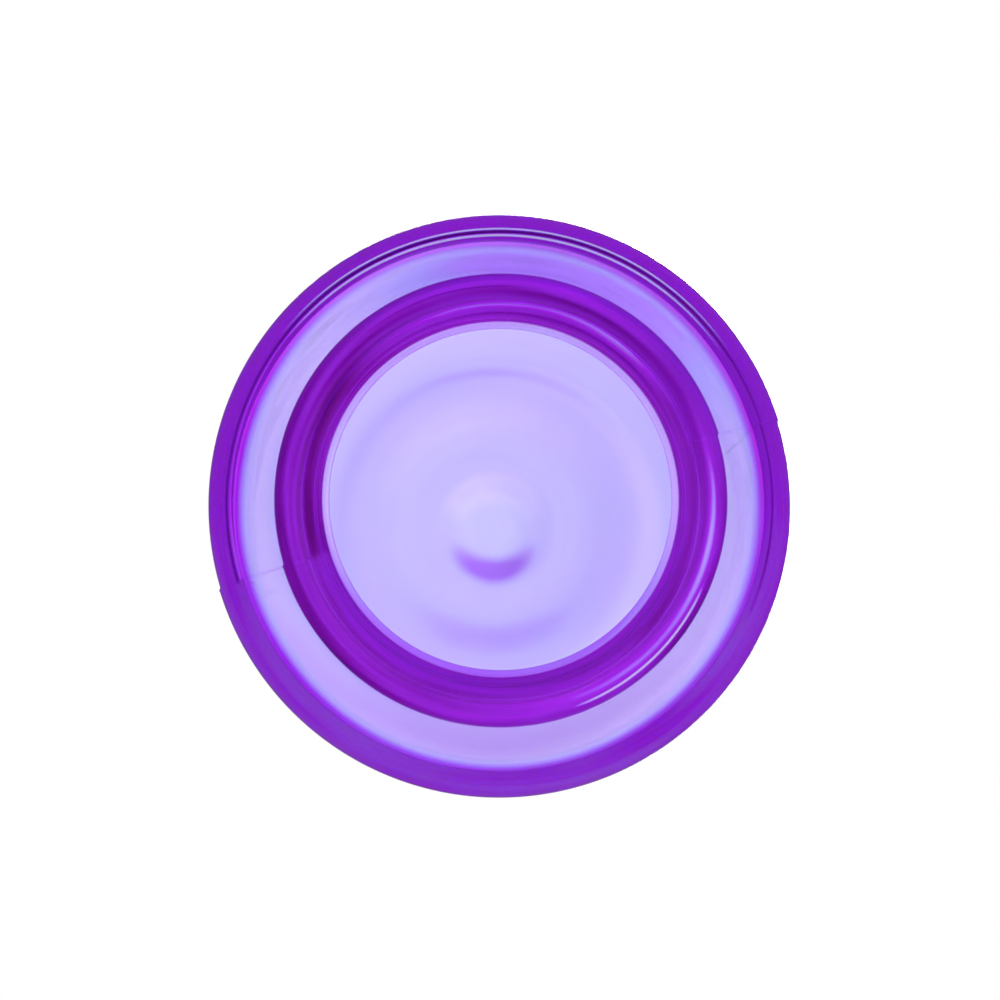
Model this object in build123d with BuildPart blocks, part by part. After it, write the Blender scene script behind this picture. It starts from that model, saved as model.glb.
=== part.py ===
"""Silicone cupping cup: a jar-shaped suction cup of soft silicone, standing on its mouth.

The cup is one moulding turned about Z. Its wall section is drawn once, and each zone of the wall
is the stretch of that section between two levels, so that neighbouring zones meet face to face.
The origin is the centre of the lip's contact face, and the crown is at the top. Millimetres.
"""

import math
import os

from build123d import *

# Overall sizes
belly_radius = 35.0
wall = 3.5
height = 55.0
taper = 2.4

# Mouth: a thick rounded lip with a thin feather edge, round a throat that widens towards the back
lip_radius = 26.8
lip_height = 3.6
lip_outer_round = 1.4
lip_back_round = 1.0
feather_radius = 20.1
feather_height = 0.35
throat_radius = 20.9
throat_back_radius = 21.7
throat_back_round = 1.5

# Neck groove behind the lip, with a half-round bottom
groove_width = 2.4
neck_radius = 23.4
groove_mouth_radius = 25.2

# Shoulder and crown: the two rounds that the slightly tapered belly joins
shoulder_round = 4.5
crown_round = 14.0

# Swell: a slight thickening inside the crown, where its flat end meets the corner
swell_start_radius = 10.5
swell_radius = 18.0
swell_foot_radius = 22.5
swell_height = 0.8

# Thumb dimple: a flat-bottomed dish outside the crown, with a slight bulge under it
dimple_radius = 8.2
dimple_floor_radius = 2.4
dimple_depth = 2.0
dimple_bulge = 0.6

# Levels at which one zone of the wall ends and the next begins
shoulder_level = lip_height + groove_width
belly_level = shoulder_level + shoulder_round
flex_low_level = 24.0
flex_high_level = 40.0

# The rounds' centres: the belly's straight wall touches both rounds, and leans in by the taper
lean_cos = math.cos(math.radians(taper))
lean_sin = math.sin(math.radians(taper))
shoulder_hub = (belly_radius - shoulder_round, belly_level)
crown_hub_level = height - crown_round
wall_offset = shoulder_hub[0] * lean_cos + shoulder_hub[1] * lean_sin + shoulder_round
crown_hub = ((wall_offset - crown_round - crown_hub_level * lean_sin) / lean_cos, crown_hub_level)
crown_inner_level = height - wall
shoulder_inner_level = shoulder_level + wall
crown_panel_radius = crown_hub[0]


def leaning(hub, radius):
    """The point where the belly's leaning wall touches a round."""
    return (hub[0] + radius * lean_cos, hub[1] + radius * lean_sin)


def crown_outside():
    """The outside of the crown, from the dimple's floor on the axis to the top of the belly wall."""
    Line((0, height - dimple_depth), (dimple_floor_radius, height - dimple_depth))
    Spline(
        (dimple_floor_radius, height - dimple_depth),
        (dimple_radius, height),
        tangents=((1, 0), (1, 0)),
    )
    Line((dimple_radius, height), (crown_hub[0], height))
    CenterArc(crown_hub, crown_round, taper, 90 - taper)


def belly_outside():
    """The outside of the belly and the shoulder, down to the groove's mouth."""
    Line(leaning(crown_hub, crown_round), leaning(shoulder_hub, shoulder_round))
    CenterArc(shoulder_hub, shoulder_round, -90, 90 + taper)
    Line((shoulder_hub[0], shoulder_level), (groove_mouth_radius, shoulder_level))


def neck_outside():
    """The groove behind the lip: two flat sides and a half-round bottom."""
    bottom = neck_radius + groove_width / 2
    Line((groove_mouth_radius, shoulder_level), (bottom, shoulder_level))
    CenterArc((bottom, lip_height + groove_width / 2), groove_width / 2, 90, 180)
    Line((bottom, lip_height), (groove_mouth_radius, lip_height))


def lip_outside():
    """The lip, from the groove's mouth round its outer edge and across its contact face."""
    back = (lip_radius - lip_back_round, lip_height - lip_back_round)
    front = (lip_radius - lip_outer_round, lip_outer_round)
    Line((groove_mouth_radius, lip_height), (back[0], lip_height))
    CenterArc(back, lip_back_round, 0, 90)
    Line((lip_radius, back[1]), (lip_radius, front[1]))
    CenterArc(front, lip_outer_round, -90, 90)
    Line((front[0], 0), (feather_radius, 0))


def throat_inside():
    """The feather edge, the throat and the inside of the shoulder, up to the belly wall."""
    back = (throat_back_radius + throat_back_round, shoulder_inner_level - throat_back_round)
    Line((feather_radius, 0), (feather_radius, feather_height))
    Line((feather_radius, feather_height), (throat_radius, feather_height))
    Line((throat_radius, feather_height), (throat_back_radius, back[1]))
    CenterArc(back, throat_back_round, 90, 90)
    Line((back[0], shoulder_inner_level), (shoulder_hub[0], shoulder_inner_level))
    CenterArc(shoulder_hub, shoulder_round - wall, -90, 90 + taper)


def crown_inside():
    """The inside of the belly and the crown, with the swell and the bulge, up to the axis."""
    corner = crown_round - wall
    bulge_level = crown_inner_level - dimple_bulge
    Line(leaning(shoulder_hub, shoulder_round - wall), leaning(crown_hub, corner))
    start = math.degrees(math.acos((swell_foot_radius - crown_hub[0]) / corner))
    CenterArc(crown_hub, corner, taper, start - taper)
    touch = (swell_foot_radius, crown_hub[1] + corner * math.sin(math.radians(start)))
    Spline(
        touch,
        (swell_radius, crown_inner_level - swell_height),
        (swell_start_radius, crown_inner_level),
        tangents=((-math.sin(math.radians(start)), math.cos(math.radians(start))), (-1, 0)),
    )
    Line((swell_start_radius, crown_inner_level), (dimple_radius, crown_inner_level))
    Spline(
        (dimple_radius, crown_inner_level),
        (dimple_floor_radius, bulge_level),
        tangents=((-1, 0), (-1, 0)),
    )
    Line((dimple_floor_radius, bulge_level), (0, bulge_level))
    Line((0, bulge_level), (0, height - dimple_depth))


def wall_section(inner_radius, outer_radius, low, high):
    """The part of the wall section that lies between two radii and two levels."""
    with BuildSketch(Plane.XZ) as section:
        with BuildLine():
            crown_outside()
            belly_outside()
            neck_outside()
            lip_outside()
            throat_inside()
            crown_inside()
        make_face()
        middle = ((inner_radius + outer_radius) / 2, (low + high) / 2)
        with Locations(middle):
            Rectangle(outer_radius - inner_radius, high - low, mode=Mode.INTERSECT)
    return section.sketch


def write(piece, name):
    """Labels a finished zone and writes its file."""
    piece.label = name
    export_step(piece, f"parts/{name}.step")


os.makedirs("parts", exist_ok=True)

# Mouth lip: the thick ring that rests on the skin
with BuildPart() as mouth_lip:
    add(wall_section(0, belly_radius, 0, lip_height))
    revolve(axis=Axis.Z)
write(mouth_lip.part, "mouth_lip")

# Neck: the waist behind the lip, with the groove round its outside
with BuildPart() as neck:
    add(wall_section(0, belly_radius, lip_height, shoulder_level))
    revolve(axis=Axis.Z)
write(neck.part, "neck")

# Shoulder: the flat ring and quarter round from the neck out to the belly
with BuildPart() as shoulder:
    add(wall_section(0, belly_radius, shoulder_level, belly_level))
    revolve(axis=Axis.Z)
write(shoulder.part, "shoulder")

# Lower belly: the stretch of wall that keeps its shape when the crown is pressed
with BuildPart() as lower_belly_wall:
    add(wall_section(0, belly_radius, belly_level, flex_low_level))
    revolve(axis=Axis.Z)
write(lower_belly_wall.part, "lower_belly_wall")

# Flexing belly: the band of wall that gives when the crown is pressed
with BuildPart() as flexing_belly_wall:
    add(wall_section(0, belly_radius, flex_low_level, flex_high_level))
    revolve(axis=Axis.Z)
write(flexing_belly_wall.part, "flexing_belly_wall")

# Crown corner: the large rounded corner round the closed end
with BuildPart() as crown_corner:
    add(wall_section(crown_panel_radius, belly_radius, flex_high_level, height))
    revolve(axis=Axis.Z)
write(crown_corner.part, "crown_corner")

# Crown panel: the flat closed end round the dimple
with BuildPart() as crown_panel:
    add(wall_section(dimple_radius, crown_panel_radius, flex_high_level, height))
    revolve(axis=Axis.Z)
write(crown_panel.part, "crown_panel")

# Thumb dimple: the dish in the middle of the crown, where the thumb presses
with BuildPart() as thumb_dimple:
    add(wall_section(0, dimple_radius, flex_high_level, height))
    revolve(axis=Axis.Z)
write(thumb_dimple.part, "thumb_dimple")
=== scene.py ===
"""Looks of the silicone cupping cup: one translucent moulding turned about +Z."""

import math
from types import SimpleNamespace

import bpy
from mathutils import Matrix, Vector

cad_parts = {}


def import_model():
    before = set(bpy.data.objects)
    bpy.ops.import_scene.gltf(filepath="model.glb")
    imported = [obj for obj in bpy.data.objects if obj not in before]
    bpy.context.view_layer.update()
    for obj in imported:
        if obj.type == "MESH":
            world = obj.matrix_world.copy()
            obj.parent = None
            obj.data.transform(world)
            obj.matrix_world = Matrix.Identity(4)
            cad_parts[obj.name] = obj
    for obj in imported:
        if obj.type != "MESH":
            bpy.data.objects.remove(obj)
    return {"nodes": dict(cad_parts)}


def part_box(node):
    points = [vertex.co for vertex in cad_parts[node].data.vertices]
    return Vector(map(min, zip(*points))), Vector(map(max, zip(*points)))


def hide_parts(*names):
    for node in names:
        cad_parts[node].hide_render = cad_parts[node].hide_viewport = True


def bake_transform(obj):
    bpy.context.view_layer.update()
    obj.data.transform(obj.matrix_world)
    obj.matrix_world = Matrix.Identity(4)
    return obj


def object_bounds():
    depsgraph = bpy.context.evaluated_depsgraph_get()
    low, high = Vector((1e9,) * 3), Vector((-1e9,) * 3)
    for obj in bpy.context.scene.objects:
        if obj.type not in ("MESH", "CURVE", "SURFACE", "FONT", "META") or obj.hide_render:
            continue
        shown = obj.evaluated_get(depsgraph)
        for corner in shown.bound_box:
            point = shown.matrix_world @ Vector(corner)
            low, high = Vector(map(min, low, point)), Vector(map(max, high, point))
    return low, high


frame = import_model()
cad_low, cad_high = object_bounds()

MM = 0.001


def reach(node):
    """The outer radius of a turned CAD node."""
    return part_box(node)[1].x


def level(node):
    """The level of the top of a CAD node."""
    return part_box(node)[1].z


def bore(node):
    """The inner radius of a turned CAD node."""
    return min(v.co.xy.length for v in frame["nodes"][node].data.vertices)


# --------------------------------------------------------------------------- sizes from the frame
HEIGHT = cad_high.z
BELLY = reach("shoulder")
LIP = reach("mouth_lip")
LIP_HEIGHT = level("mouth_lip")
FEATHER = bore("mouth_lip")
SHOULDER_LEVEL = level("neck")
GROOVE_WIDTH = SHOULDER_LEVEL - LIP_HEIGHT
BELLY_LEVEL = level("shoulder")
SHOULDER = BELLY_LEVEL - SHOULDER_LEVEL
CROWN_HUB = reach("crown_panel")
DIMPLE = reach("thumb_dimple")

# ----------------------------------------------------------- small sizes of the section, metres
WALL = 3.5 * MM
TAPER = 2.4  # degrees that the belly widens towards the mouth
CROWN_ROUND = 14 * MM
THROAT = 20.9 * MM
THROAT_BACK = 21.7 * MM
THROAT_LENGTH = 8 * MM
FEATHER_HEIGHT = 0.35 * MM
NECK = 23.4 * MM
LIP_OUTER_ROUND = 1.4 * MM
LIP_BACK_ROUND = 1.0 * MM
THROAT_BACK_ROUND = 1.5 * MM
SWELL = 18.0 * MM
SWELL_FOOT = 22.5 * MM
SWELL_START = 10.5 * MM
SWELL_HEIGHT = 0.8 * MM
DIMPLE_FLOOR = 2.4 * MM
DIMPLE_DEPTH = 2.0 * MM
DIMPLE_BULGE = 0.6 * MM
STEP = 0.7 * MM  # the longest step of the section along a straight run

# ---------------------------------------------------------------------------- marks of the mould
PARTING_ANGLE = math.radians(163)
RIDGE_HEIGHT = 0.10 * MM
RIDGE_WIDTH = 0.45 * MM
MISMATCH = Vector((-0.16, 0.05)) * MM  # how far the +Y half of the mould stood out of line
WITNESS = 32.5 * MM  # the radius of the witness groove on the shoulder
WITNESS_WIDTH = 0.22 * MM
WITNESS_DEPTH = 0.20 * MM
TURNS = 256

# ----------------------------------------------------------------------------------------- looks
TRANSMISSION = 0.8
IOR = 1.41
ABSORB = (0.72, 0.36, 0.95)
DENSITY = 130.0
ROUGHNESS = 0.05
BUMP = 0.25 * MM
RINGS_PER_METRE = 900.0  # how fine the streaks are across, which run round the axis
CLOUDS_PER_METRE = 60.0
CLOUD_DEPTH = 0.05
CLOUD_ROUGHNESS = 0.06
FAINT_STREAKS = (0.03, 0.12)  # above the shoulder and below it
STRONG_STREAKS = 0.5
STREAK_RELIEF = 0.06
# the tint of the surface by depth of colour, from clear to nearly black; besides streaks and
# clouds of tone, the depth paints light and shade
TINTS = (
    (0.00, (0.97, 0.98, 1.00)),
    (0.20, (0.80, 0.87, 1.00)),
    (0.28, (0.70, 0.79, 1.00)),
    (0.35, (0.75, 0.55, 1.00)),
    (0.45, (0.57, 0.36, 0.97)),
    (0.52, (0.54, 0.17, 0.88)),
    (0.59, (0.51, 0.022, 0.77)),
    (0.70, (0.38, 0.028, 0.60)),
    (0.85, (0.28, 0.004, 0.38)),
    (1.00, (0.03, 0.0, 0.05)),
)
# the depth of colour of each zone, and of its side towards -Y or +Y where that differs; these
# depths are painted light and shade, not a change of the silicone's own colour
CLEAR_DEPTH = 0.24
CROWN_DEPTH = 0.32
THROAT_DEPTH = 0.33
THROAT_LOW_DEPTH = 0.50
SHOULDER_DEPTH = 0.10
SHOULDER_TOP_DEPTH = 0.36
LIP_DEPTH = 0.725
NECK_DEPTH = 0.84
RIM_DEPTH = 0.615
RIM_LOW_DEPTH = 0.57
WALL_DEPTH = 0.40
# the witness line is painted dark as shade in its groove
LINE_DEPTH = 0.86
# the levels between which the wall's tint, a painted shade, fades out under the crown
WALL_TINT_FULL = 34 * MM
WALL_TINT_END = 43 * MM
# soft arcs of painted light and shade on the underside: angle and spread in degrees, radius and
# width in mm, how flat the middle is, and how much deeper the colour is there, painted shade where
# it is more and painted light where it is less; UPPER_ARC is on the +Y half of the mould only
UPPER_ARC = (5, 62, 22.2, 1.5, 2.5, 0.12)
ARCS = (
    (92, 62, 23.0, 0.8, 1.0, -0.20),
    (92, 70, 22.0, 0.3, 1.0, 0.15),
    (90, 80, 24.5, 0.7, 1.0, 0.12),
    (72, 32, 25.15, 0.2, 1.0, 0.18),
    (206, 58, 25.05, 0.55, 1.0, -0.18),
    (200, 36, 26.2, 1.0, 2.0, 0.11),
    (350, 75, 26.2, 1.1, 2.0, 0.14),
    (270, 70, 24.1, 0.9, 1.0, -0.08),
    (95, 70, 30.3, 0.7, 1.0, -0.10),
    (0, 60, 28.4, 1.6, 1.0, -0.07),
    (225, 68, 25.2, 1.0, 1.0, -0.11),
    (100, 120, 25.5, 0.9, 1.0, -0.06),
    (142, 50, 24.1, 1.3, 1.5, 0.06),
)
# arcs of the same kind: a painted glint on the edge of the lip, and the faint end of the witness
# line's painted shade on the other half of the mould
PAINTED_GLINT = (227, 27, 25.9, 0.20, 1.6)
TAIL = (176, 30, WITNESS / MM, 0.24)
# where the witness line has frosted edges, painted pale as highlights, and where its painted shade
# is darkest: angle and spread in degrees
FROSTED = (92, 58)
DARKEST = (97, 75)
# the room seen through the cup, by the Y of the direction from -0.5 to 0.5
ROOM = (
    (0.00, (0.30, 0.08, 0.70)),
    (0.41, (0.51, 0.22, 0.84)),
    (0.502, (0.75, 0.82, 0.95)),
    (0.545, (0.80, 0.85, 0.93)),
    (0.58, (0.78, 0.86, 0.93)),
    (0.66, (0.90, 0.95, 0.97)),
    (1.00, (0.90, 0.90, 0.90)),
)
THROUGH = (1.29, 1.60)  # how bright the room is through the cup, towards -X and +X
MIRRORED = 0.07  # how bright the room is when it is mirrored in the cup
FRONT_POWER = 1.5
KEY_POWER = 4.0

# ---------------------------------------------------------------------------------------- camera
CAMERA_DISTANCE = 0.5
LEAN_X = math.radians(0.9)
LEAN_Y = math.radians(4.15)
SENSOR = 36
FRAMES_PER_METRE = 8.51  # how many times the picture's width fits in a metre at the mouth
AIM_SHIFT = (-0.0005, -0.0011)


# ------------------------------------------------------------------------------ the wall section
def run(points, end):
    """Adds a straight run from the last point to end."""
    start = points[-1]
    count = max(1, math.ceil(math.dist(start, end) / STEP))
    for i in range(1, count + 1):
        t = i / count
        points.append((start[0] + (end[0] - start[0]) * t, start[1] + (end[1] - start[1]) * t))


def arc(points, centre, radius, start, end, step=5.0):
    """Adds an arc from one angle to another, in degrees from the radial direction."""
    count = max(4, math.ceil(abs(end - start) / step))
    for i in range(count + 1):
        a = math.radians(start + (end - start) * i / count)
        points.append((centre[0] + radius * math.cos(a), centre[1] + radius * math.sin(a)))


def ease(points, end, leave, arrive, count=12):
    """Adds a smooth bend from the last point to end, with a direction at each of its ends."""
    start = Vector(points[-1])
    end = Vector(end)
    handle = (end - start).length * 0.42
    a = start + Vector(leave).normalized() * handle
    b = end - Vector(arrive).normalized() * handle
    for i in range(1, count + 1):
        t = i / count
        s = 1 - t
        points.append(tuple(start * s**3 + a * 3 * s * s * t + b * 3 * s * t * t + end * t**3))


def section():
    """The wall section as (radius, level) points, from the outside round the lip to the inside."""
    lean = (math.cos(math.radians(TAPER)), math.sin(math.radians(TAPER)))
    shoulder_hub = (BELLY - SHOULDER, BELLY_LEVEL)
    crown_hub = (CROWN_HUB, HEIGHT - CROWN_ROUND)
    crown_inner = HEIGHT - WALL
    points = [(0.0, HEIGHT - DIMPLE_DEPTH)]
    run(points, (DIMPLE_FLOOR, HEIGHT - DIMPLE_DEPTH))
    ease(points, (DIMPLE, HEIGHT), (1, 0), (1, 0), 20)
    run(points, (crown_hub[0], HEIGHT))
    arc(points, crown_hub, CROWN_ROUND, 90, TAPER)
    run(points, (shoulder_hub[0] + SHOULDER * lean[0], shoulder_hub[1] + SHOULDER * lean[1]))
    arc(points, shoulder_hub, SHOULDER, TAPER, -90, 1.0)
    bottom = NECK + GROOVE_WIDTH / 2
    run(points, (bottom, SHOULDER_LEVEL))
    arc(points, (bottom, LIP_HEIGHT + GROOVE_WIDTH / 2), GROOVE_WIDTH / 2, 90, 270)
    run(points, (LIP - LIP_BACK_ROUND, LIP_HEIGHT))
    arc(points, (LIP - LIP_BACK_ROUND, LIP_HEIGHT - LIP_BACK_ROUND), LIP_BACK_ROUND, 90, 0)
    run(points, (LIP, LIP_OUTER_ROUND))
    arc(points, (LIP - LIP_OUTER_ROUND, LIP_OUTER_ROUND), LIP_OUTER_ROUND, 0, -90)
    tip = FEATHER_HEIGHT / 2
    run(points, (FEATHER + tip, 0.0))
    arc(points, (FEATHER + tip, tip), tip, -90, -270, 30.0)
    run(points, (THROAT - 0.04 * MM, FEATHER_HEIGHT))
    points.append((THROAT, FEATHER_HEIGHT + 0.04 * MM))
    back = (THROAT_BACK + THROAT_BACK_ROUND, SHOULDER_LEVEL + WALL - THROAT_BACK_ROUND)
    run(points, (THROAT_BACK, back[1]))
    arc(points, back, THROAT_BACK_ROUND, 180, 90)
    run(points, (shoulder_hub[0], SHOULDER_LEVEL + WALL))
    arc(points, shoulder_hub, SHOULDER - WALL, -90, TAPER)
    corner = CROWN_ROUND - WALL
    run(points, (crown_hub[0] + corner * lean[0], crown_hub[1] + corner * lean[1]))
    touch = math.degrees(math.acos((SWELL_FOOT - crown_hub[0]) / corner))
    arc(points, crown_hub, corner, TAPER, touch)
    along = (-math.sin(math.radians(touch)), math.cos(math.radians(touch)))
    ease(points, (SWELL, crown_inner - SWELL_HEIGHT), along, (-1, 0), 16)
    ease(points, (SWELL_START, crown_inner), (-1, 0), (-1, 0), 16)
    run(points, (DIMPLE, crown_inner))
    ease(points, (DIMPLE_FLOOR, crown_inner - DIMPLE_BULGE), (-1, 0), (-1, 0), 20)
    run(points, (0.0, crown_inner - DIMPLE_BULGE))
    clean = [points[0]]
    for p in points[1:]:
        if math.dist(p, clean[-1]) > 0.01 * MM:
            clean.append(p)
    return clean


# ---------------------------------------------------------------------------- the turned moulding
def turn_angles():
    """Evenly spaced angles, with extra ones close to both ends of the parting line."""
    angles = [2 * math.pi * i / TURNS for i in range(TURNS)]
    for end in (PARTING_ANGLE, PARTING_ANGLE + math.pi):
        for step in (-0.9, -0.6, -0.35, -0.15, 0, 0.15, 0.35, 0.6, 0.9):
            angles.append((end + step * RIDGE_WIDTH / BELLY) % (2 * math.pi))
    angles.sort()
    spaced = [angles[0]]
    for a in angles[1:]:
        if a - spaced[-1] > 0.0004:
            spaced.append(a)
    return spaced


def bump(x, width):
    """A smooth hump of height 1 about 0."""
    return math.exp(-((x / width) ** 2))


def upper_half(angle):
    """1 on the +Y half of the mould and 0 on the other, with a short ramp at the parting line."""
    side = math.sin(PARTING_ANGLE - angle) * BELLY / (0.3 * RIDGE_WIDTH)
    return 0.5 + 0.5 * math.tanh(side)


def below_crown(z):
    """1 below the crown's corner, falling to 0 on the crown's end, which has no parting line."""
    t = min(max((HEIGHT - 4 * MM - z) / (6 * MM), 0.0), 1.0)
    return t * t * (3 - 2 * t)


def mould_marks(angle, radius, z):
    """How far the outside stands out at the parting line, less the depth of the witness groove."""
    off = math.remainder(angle - PARTING_ANGLE, math.pi) * radius
    out = RIDGE_HEIGHT * bump(off, 0.35 * RIDGE_WIDTH) * below_crown(z)
    if SHOULDER_LEVEL < z < BELLY_LEVEL:
        out -= WITNESS_DEPTH * upper_half(angle) * bump(radius - WITNESS, WITNESS_WIDTH)
    return out


def turned(name, points, angles):
    """A mesh turned about Z from a section whose first and last points are on the axis."""
    lip_at = max(i for i, p in enumerate(points) if p[1] < 1e-6)
    vertices = [(0, 0, points[0][1])]
    for i, (radius, z) in enumerate(points[1:-1], 1):
        outside = i < lip_at and radius > CROWN_HUB
        before, after = points[i - 1], points[i + 1]
        tangent = Vector((after[0] - before[0], after[1] - before[1])).normalized()
        for a in angles:
            out = mould_marks(a, radius, z) if outside else 0.0
            moved = MISMATCH * upper_half(a) * below_crown(z) if outside else Vector((0, 0))
            r = radius - tangent.y * out
            x, y = r * math.cos(a) + moved.x, r * math.sin(a) + moved.y
            vertices.append((x, y, max(z + tangent.x * out, 0.0)))
    vertices.append((0, 0, points[-1][1]))
    count, rings = len(angles), len(points) - 2
    last = len(vertices) - 1
    faces = []
    for j in range(count):
        k = (j + 1) % count
        faces.append((0, 1 + j, 1 + k))
        for i in range(rings - 1):
            a, b = 1 + i * count, 1 + (i + 1) * count
            faces.append((a + j, b + j, b + k, a + k))
        a = 1 + (rings - 1) * count
        faces.append((last, a + k, a + j))
    mesh = bpy.data.meshes.new(name)
    mesh.from_pydata(vertices, [], faces)
    mesh.validate()
    mesh.polygons.foreach_set("use_smooth", [True] * len(mesh.polygons))
    piece = bpy.data.objects.new(name, mesh)
    bpy.context.collection.objects.link(piece)
    return piece


# -------------------------------------------------------------------------------- shader helpers
def maths(nt, operation, a, b=None):
    """A Math node on outputs or plain numbers."""
    made = nt.nodes.new("ShaderNodeMath")
    made.operation = operation
    for i, value in enumerate((a, b)):
        if value is None:
            continue
        if isinstance(value, (int, float)):
            made.inputs[i].default_value = value
        else:
            nt.links.new(value, made.inputs[i])
    return made.outputs[0]


def smooth(nt, value, low, high, start=0.0, end=1.0, kind="SMOOTHSTEP"):
    """start below low, end above high, and a smooth step or a straight line between."""
    made = nt.nodes.new("ShaderNodeMapRange")
    made.interpolation_type = kind
    made.inputs["From Min"].default_value = low
    made.inputs["From Max"].default_value = high
    made.inputs["To Min"].default_value = start
    made.inputs["To Max"].default_value = end
    nt.links.new(value, made.inputs["Value"])
    return made.outputs[0]


def band(nt, value, centre, width):
    """1 at centre, falling smoothly to 0 at width on both sides."""
    off = maths(nt, "ABSOLUTE", maths(nt, "SUBTRACT", value, centre))
    return smooth(nt, off, 0.0, width, 1.0, 0.0)


def times(nt, *values):
    """The product of several outputs or numbers."""
    product = values[0]
    for value in values[1:]:
        product = maths(nt, "MULTIPLY", product, value)
    return product


def length(nt, a, b):
    """The length of the vector (a, b)."""
    return maths(nt, "SQRT", maths(nt, "ADD", times(nt, a, a), times(nt, b, b)))


def blend(nt, start, end, factor):
    """start where factor is 0 and end where it is 1."""
    made = nt.nodes.new("ShaderNodeMix")
    nt.links.new(factor, made.inputs[0])
    for i, value in ((2, start), (3, end)):
        if isinstance(value, (int, float)):
            made.inputs[i].default_value = value
        else:
            nt.links.new(value, made.inputs[i])
    return made.outputs[0]


def noise(nt, vector, scale, detail=2.0):
    """A noise value about 0."""
    made = nt.nodes.new("ShaderNodeTexNoise")
    made.inputs["Scale"].default_value = scale
    made.inputs["Detail"].default_value = detail
    nt.links.new(vector, made.inputs["Vector"])
    return maths(nt, "SUBTRACT", made.outputs[0], 0.5)


def vector(nt, x, y, z):
    """A vector of three outputs."""
    made = nt.nodes.new("ShaderNodeCombineXYZ")
    for i, value in enumerate((x, y, z)):
        nt.links.new(value, made.inputs[i])
    return made.outputs[0]


def colour_ramp(nt, stops, factor):
    """The colour at factor of a ramp through (position, colour) stops."""
    made = nt.nodes.new("ShaderNodeValToRGB")
    elements = made.color_ramp.elements
    for element, (position, colour) in zip(elements, (stops[0], stops[-1])):
        element.position, element.color = position, (*colour, 1)
    for position, colour in stops[1:-1]:
        elements.new(position).color = (*colour, 1)
    nt.links.new(factor, made.inputs[0])
    return made.outputs[0]


# ---------------------------------------------------------------------------------- the silicone
def surface_place(nt):
    """Where a point of the moulding is, as outputs that the rest of the material reads."""
    coords = nt.nodes.new("ShaderNodeTexCoord")
    split = nt.nodes.new("ShaderNodeSeparateXYZ")
    nt.links.new(coords.outputs["Object"], split.inputs[0])
    x, y, z = split.outputs
    at = SimpleNamespace(point=coords.outputs["Object"], z=z, radius=length(nt, x, y))
    off_axis = maths(nt, "MAXIMUM", at.radius, 0.1 * MM)
    at.side_x = maths(nt, "DIVIDE", x, off_axis)
    at.side_y = maths(nt, "DIVIDE", y, off_axis)
    # 1 on the half of the mould on the +Y side of the parting line
    along_y = times(nt, y, -math.cos(PARTING_ANGLE))
    along_x = times(nt, x, -math.sin(PARTING_ANGLE))
    across = maths(nt, "SUBTRACT", along_y, along_x)
    at.upper = smooth(nt, across, -0.3 * MM, 0.3 * MM)
    # 1 from the shoulder to the mouth
    at.low = smooth(nt, z, BELLY_LEVEL, BELLY_LEVEL + 6 * MM, 1.0, 0.0)
    return at


def facing(nt, at, angle, spread):
    """1 towards one angle about the axis, falling to 0 at spread on both sides of it."""
    a = math.radians(angle)
    along_x, along_y = times(nt, at.side_x, math.cos(a)), times(nt, at.side_y, math.sin(a))
    edge, full = math.cos(math.radians(spread)), math.cos(math.radians(spread * 0.4))
    return smooth(nt, maths(nt, "ADD", along_x, along_y), edge, full)


def arc_mark(nt, at, angle, spread, centre, width, flat=1.0):
    """1 on a short arc of the underside about one angle and radius, fading to 0 at its edges."""
    across = times(nt, band(nt, at.radius, centre * MM, width * MM), flat)
    across = maths(nt, "MINIMUM", across, 1.0)
    return times(nt, facing(nt, at, angle, spread), across, at.low)


def upper_depth(nt, at):
    """The depth of colour above the shoulder: the crown's outside and the wall are deeper, as
    painted shade.
    """
    lean = math.tan(math.radians(TAPER))
    wall_inside = maths(nt, "ADD", times(nt, at.z, -lean), BELLY - WALL + BELLY_LEVEL * lean)
    on_wall = smooth(nt, maths(nt, "SUBTRACT", at.radius, wall_inside), -0.8 * MM, -0.1 * MM)
    on_wall = times(nt, on_wall, smooth(nt, at.z, WALL_TINT_FULL, WALL_TINT_END, 1.0, 0.0))
    # the outside of the crown lies further from the hub of its corner than the inside does
    beside = maths(nt, "MAXIMUM", maths(nt, "SUBTRACT", at.radius, CROWN_HUB), 0.0)
    above = maths(nt, "MAXIMUM", maths(nt, "SUBTRACT", at.z, HEIGHT - CROWN_ROUND), 0.0)
    from_hub = length(nt, beside, above)
    outside = smooth(nt, from_hub, CROWN_ROUND - 2.9 * MM, CROWN_ROUND - 2.1 * MM)
    return blend(nt, blend(nt, CLEAR_DEPTH, CROWN_DEPTH, outside), WALL_DEPTH, on_wall)


def shoulder_depth(nt, at):
    """The depth of colour of the shoulder, as painted light and shade: palest towards -Y and
    deepest towards +Y.
    """
    top = smooth(nt, maths(nt, "ADD", at.side_y, times(nt, at.side_x, -0.35)), 0.50, 1.05)
    pale = smooth(nt, at.side_y, -1.0, 0.3, 0.0, SHOULDER_DEPTH)
    return blend(nt, pale, SHOULDER_TOP_DEPTH, top)


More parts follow.
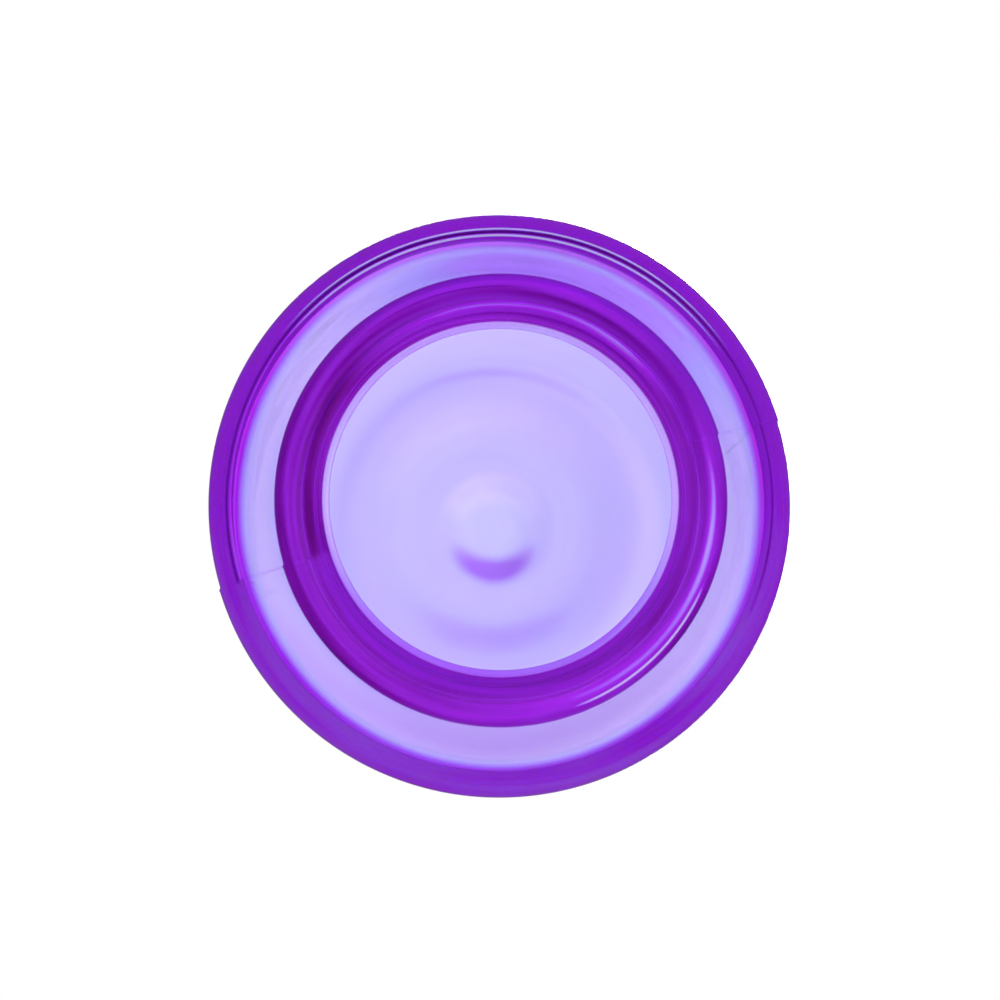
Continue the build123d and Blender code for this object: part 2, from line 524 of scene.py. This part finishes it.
def zones(nt, at):
    """The depth of colour of every zone, painted light and shade, and a mask that is 1 on the
    thick lip and neck.
    """
    on_lip = smooth(nt, at.z, LIP_HEIGHT - 0.1 * MM, LIP_HEIGHT + 0.4 * MM, 1.0, 0.0)
    at_neck = times(nt, smooth(nt, at.radius, NECK, NECK + 0.7 * MM, 1.0, 0.0), at.low)
    spread = maths(nt, "ADD", at.radius, times(nt, at.side_x, at.side_x, 0.6 * MM))
    rim = smooth(nt, spread, BELLY - WALL - 1.5 * MM, BELLY - WALL + 0.6 * MM)
    rim = times(nt, rim, at.low)
    # the rim is painted lighter on its side towards -Y, as painted light
    rim_depth = smooth(nt, at.side_y, -0.5, 0.5, RIM_LOW_DEPTH, RIM_DEPTH)
    # inside a cone that follows the throat from the mouth to its back
    bore_line = times(nt, at.z, (THROAT_BACK - THROAT) / THROAT_LENGTH)
    bore_line = maths(nt, "ADD", bore_line, THROAT)
    past = maths(nt, "SUBTRACT", at.radius, bore_line)
    in_throat = times(nt, smooth(nt, past, 0.02 * MM, 0.15 * MM, 1.0, 0.0), at.low)
    # the throat is painted with deeper shade on its side towards -Y
    throat_depth = smooth(nt, at.side_y, -0.9, 0.1, THROAT_LOW_DEPTH, THROAT_DEPTH)

    depth = blend(nt, upper_depth(nt, at), shoulder_depth(nt, at), at.low)
    depth = blend(nt, depth, rim_depth, rim)
    depth = blend(nt, depth, NECK_DEPTH, at_neck)
    depth = blend(nt, depth, LIP_DEPTH, on_lip)
    depth = blend(nt, depth, throat_depth, in_throat)
    thick = maths(nt, "MAXIMUM", on_lip, at_neck)
    return depth, times(nt, thick, maths(nt, "SUBTRACT", 1.0, in_throat))


def marks(nt, at):
    """The witness line painted dark as shade, and the frost on both sides of it and the glint on
    the lip, both rough and painted pale as highlights.
    """
    here = times(nt, at.upper, at.low)
    tail = times(nt, arc_mark(nt, at, *TAIL), maths(nt, "SUBTRACT", 1.0, at.upper))
    line = maths(nt, "MAXIMUM", times(nt, band(nt, at.radius, WITNESS, 0.30 * MM), here), tail)
    outer = band(nt, at.radius, WITNESS + 0.40 * MM, 0.17 * MM)
    inner = band(nt, at.radius, WITNESS - 0.44 * MM, 0.22 * MM)
    frost_and_highlight = times(nt, maths(nt, "MAXIMUM", outer, inner), here, facing(nt, at, *FROSTED))
    return line, maths(nt, "MAXIMUM", frost_and_highlight, arc_mark(nt, at, *PAINTED_GLINT))


def silicone():
    """Clear violet silicone: smooth moulded faces over a body that darkens with depth, with light
    and shade painted into its tint.
    """
    mat = bpy.data.materials.new("violet_silicone")
    mat.use_nodes = True
    nt = mat.node_tree
    nodes, links = nt.nodes, nt.links
    p = nodes["Principled BSDF"]
    p.inputs["Transmission Weight"].default_value = TRANSMISSION
    p.inputs["IOR"].default_value = IOR

    at = surface_place(nt)
    rings = vector(nt, times(nt, at.radius, RINGS_PER_METRE), at.side_x, at.side_y)
    streak = noise(nt, rings, 1.0, 3.0)
    cloud = noise(nt, at.point, CLOUDS_PER_METRE)
    depth, thick = zones(nt, at)
    # the streaks that run round the axis are strong in the lip and neck, and faint elsewhere
    strength = blend(nt, blend(nt, *FAINT_STREAKS, at.low), STRONG_STREAKS, thick)
    depth = maths(nt, "ADD", depth, times(nt, streak, strength))
    depth = maths(nt, "ADD", depth, times(nt, cloud, CLOUD_DEPTH))
    # soft arcs of painted light and shade on the underside
    *place, amount = UPPER_ARC
    depth = maths(nt, "ADD", depth, times(nt, arc_mark(nt, at, *place), at.upper, amount))
    for *place, amount in ARCS:
        depth = maths(nt, "ADD", depth, times(nt, arc_mark(nt, at, *place), amount))
    # the witness line is painted dark as shade; its frosted edges and the glint are painted pale
    # as highlights
    line, frost_and_highlight = marks(nt, at)
    depth = blend(nt, depth, 0.0, frost_and_highlight)
    depth = blend(nt, depth, blend(nt, LINE_DEPTH, 1.0, facing(nt, at, *DARKEST)), line)
    links.new(colour_ramp(nt, TINTS, depth), p.inputs["Base Color"])
    rough = maths(nt, "ADD", times(nt, cloud, CLOUD_ROUGHNESS), ROUGHNESS)
    links.new(blend(nt, rough, 1.0, frost_and_highlight), p.inputs["Roughness"])

    bumps = nodes.new("ShaderNodeBump")
    bumps.inputs["Strength"].default_value = 1.0
    bumps.inputs["Distance"].default_value = BUMP
    relief = maths(nt, "ADD", times(nt, streak, thick, STREAK_RELIEF), cloud)
    links.new(relief, bumps.inputs["Height"])
    links.new(bumps.outputs[0], p.inputs["Normal"])

    soak = nodes.new("ShaderNodeVolumeAbsorption")
    soak.inputs["Color"].default_value = (*ABSORB, 1)
    soak.inputs["Density"].default_value = DENSITY
    links.new(soak.outputs[0], nodes["Material Output"].inputs["Volume"])
    return mat


# ------------------------------------------------------------------------------- camera, stage
def main_camera():
    """A long lens below the mouth, a little off the axis, looking up into the cup with +Y up."""
    data = bpy.data.cameras.new("camera")
    cam = bpy.data.objects.new("camera", data)
    bpy.context.collection.objects.link(cam)
    side, down = math.tan(LEAN_X), math.tan(LEAN_Y)
    cam.location = Vector((side, -down, -1.0)) * CAMERA_DISTANCE
    data.sensor_width = SENSOR
    data.lens = FRAMES_PER_METRE * cam.location.length * SENSOR
    forward = -cam.location.normalized()
    right = forward.cross(Vector((0, 1, 0))).normalized()
    turn = Matrix((right, right.cross(forward), -forward)).transposed()
    cam.rotation_mode = "QUATERNION"
    cam.rotation_quaternion = turn.to_quaternion()
    data.shift_x, data.shift_y = AIM_SHIFT
    data.clip_start, data.clip_end = 0.01, 50
    bpy.context.scene.camera = cam


def floor():
    """A pale floor that only shows from above, open under the mouth."""
    inner, outer, count = LIP * 0.97, 4.0, 96
    vertices, faces = [], []
    for r in (inner, outer):
        for i in range(count):
            a = 2 * math.pi * i / count
            vertices.append((r * math.cos(a), r * math.sin(a), -0.1 * MM))
    for i in range(count):
        k = (i + 1) % count
        faces.append((i, count + i, count + k, k))
    mesh = bpy.data.meshes.new("floor")
    mesh.from_pydata(vertices, [], faces)
    piece = bpy.data.objects.new("floor", mesh)
    bpy.context.collection.objects.link(piece)
    mat = bpy.data.materials.new("pale_floor")
    mat.use_nodes = True
    nt = mat.node_tree
    p = nt.nodes["Principled BSDF"]
    p.inputs["Base Color"].default_value = (0.82, 0.82, 0.83, 1)
    p.inputs["Roughness"].default_value = 0.6
    p.inputs["Specular IOR Level"].default_value = 0.0
    clear = nt.nodes.new("ShaderNodeBsdfTransparent")
    geometry = nt.nodes.new("ShaderNodeNewGeometry")
    mix = nt.nodes.new("ShaderNodeMixShader")
    nt.links.new(geometry.outputs["Backfacing"], mix.inputs[0])
    nt.links.new(p.outputs[0], mix.inputs[1])
    nt.links.new(clear.outputs[0], mix.inputs[2])
    nt.links.new(mix.outputs[0], nt.nodes["Material Output"].inputs["Surface"])
    mesh.materials.append(mat)
    piece.visible_shadow = False
    piece.visible_glossy = False


def world():
    """A white room. Through the cup it is violet towards -Y, and mirrored in the cup it is dim."""
    w = bpy.data.worlds.new("studio")
    bpy.context.scene.world = w
    w.use_nodes = True
    nt = w.node_tree
    nodes, links = nt.nodes, nt.links
    back = nodes["Background"]
    coords = nodes.new("ShaderNodeTexCoord")
    split = nodes.new("ShaderNodeSeparateXYZ")
    links.new(coords.outputs["Generated"], split.inputs[0])
    path = nodes.new("ShaderNodeLightPath")
    tint = nodes.new("ShaderNodeMix")
    tint.data_type = "RGBA"
    tint.inputs[6].default_value = (1, 1, 1, 1)
    seen = smooth(nt, split.outputs["Y"], -0.5, 0.5, kind="LINEAR")
    links.new(colour_ramp(nt, ROOM, seen), tint.inputs[7])
    links.new(path.outputs["Is Transmission Ray"], tint.inputs[0])
    links.new(tint.outputs[2], back.inputs["Color"])
    through = smooth(nt, split.outputs["X"], -0.15, 0.10, *THROUGH)
    strength = blend(nt, 1.0, MIRRORED, path.outputs["Is Glossy Ray"])
    strength = blend(nt, strength, through, path.outputs["Is Transmission Ray"])
    links.new(strength, back.inputs["Strength"])


def lamp(name, place, size, power, mirrored, target=(0, 0, 0)):
    """A soft round lamp that shines on target; mirrored says if it shows in the cup's shine."""
    data = bpy.data.lights.new(name, "AREA")
    data.shape = "DISK"
    data.size = size
    data.energy = power
    piece = bpy.data.objects.new(name, data)
    bpy.context.collection.objects.link(piece)
    piece.location = place
    piece.rotation_mode = "QUATERNION"
    piece.rotation_quaternion = (Vector(target) - Vector(place)).to_track_quat("-Z", "Y")
    piece.visible_camera = False
    piece.visible_transmission = False
    piece.visible_glossy = mirrored


def lamps():
    """Four round lamps under the mouth, well off the axis, and one above the crown."""
    for i in range(4):
        a = math.radians(45 + 90 * i)
        place = (0.45 * math.cos(a), 0.45 * math.sin(a), -0.30)
        lamp(f"front_{i}", place, 0.28, FRONT_POWER, False)
    lamp("key", (-0.10, 0.12, 0.9), 0.35, KEY_POWER, True, (0, 0, 0.02))


scene = bpy.context.scene
scene.view_settings.view_transform = "Standard"
scene.cycles.use_denoising = True
scene.cycles.max_bounces = 32
scene.cycles.transmission_bounces = 32
scene.cycles.glossy_bounces = 16

main_camera()
floor()
world()
lamps()

cup = turned("silicone_cup", section(), turn_angles())
cup.data.materials.append(silicone())
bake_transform(cup)
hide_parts(*frame["nodes"])
